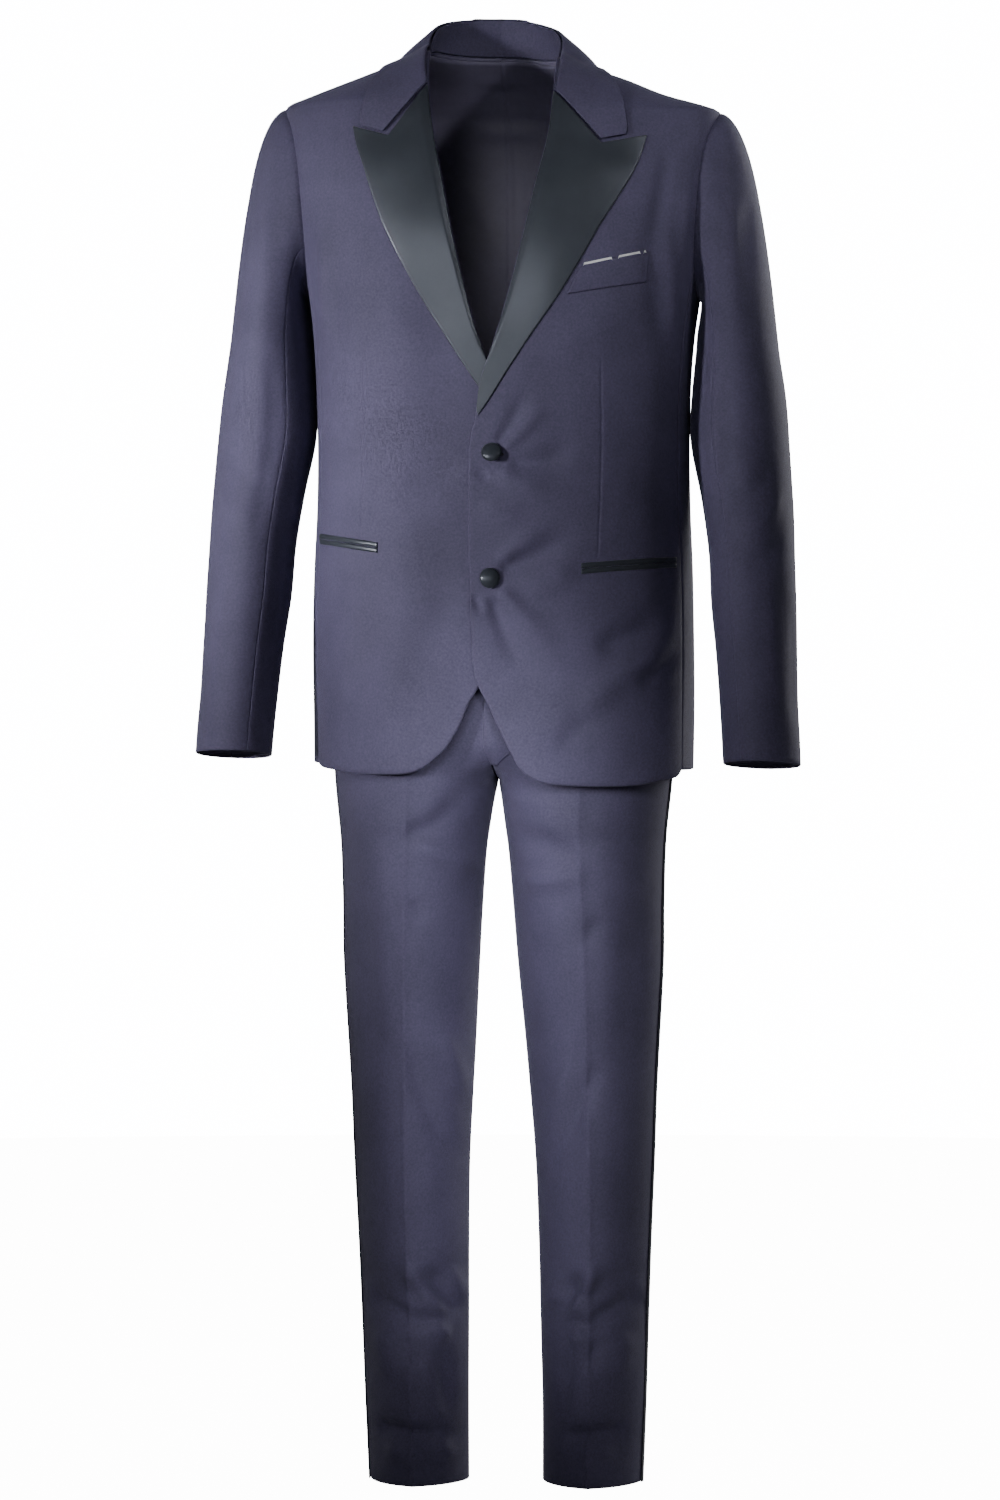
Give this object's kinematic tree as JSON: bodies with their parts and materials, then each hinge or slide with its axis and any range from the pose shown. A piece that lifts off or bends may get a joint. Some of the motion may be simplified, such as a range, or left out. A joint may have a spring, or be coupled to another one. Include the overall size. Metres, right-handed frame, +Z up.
{
  "type": "tuxedo",
  "caption": "Two-piece dinner suit in hollow worn form: peak-lapel jacket with satin lapels, jetted pockets and covered buttons, over straight creased trousers with satin side stripes",
  "frame": {"origin": "inside the neck opening, level with the neck points of the shoulder seams and midway between them, where the wearer's shoulders carry the suit", "axes": "+Z up the standing body, the wearer faces -Y, +X towards the wearer's left"},
  "size_m": [0.623, 0.2702, 1.5311],
  "materials": {
    "wool": "fine matt worsted wool, midnight blue",
    "satin": "smooth satin with a soft sheen, near-black blue",
    "lining": "smooth dark lining",
    "white_edge": "white cotton edge"
  },
  "bodies": {
    "root": {"back_left": "wool", "back_lining": "lining", "back_right": "wool", "button_lower": "satin", "button_upper": "satin", "chest_welt": "wool", "collar_fall": "wool", "collar_stand": "wool", "fly": "wool", "front_left": "wool", "front_right": "wool", "hip_jet_lower_left": "satin", "hip_jet_lower_right": "satin", "hip_jet_upper_left": "satin", "hip_jet_upper_right": "satin", "lapel_left": "satin", "lapel_right": "satin", "pocket_edge_inner": "white_edge", "pocket_edge_middle": "white_edge", "pocket_edge_outer": "white_edge", "side_left": "wool", "side_right": "wool", "side_stripe_left": "satin", "side_stripe_right": "satin", "top_sleeve_left": "wool", "top_sleeve_right": "wool", "trouser_back_left": "wool", "trouser_back_right": "wool", "trouser_front_left": "wool", "trouser_front_right": "wool", "under_sleeve_left": "wool", "under_sleeve_right": "wool", "waistband": "wool"}
  },
  "joints": []
}
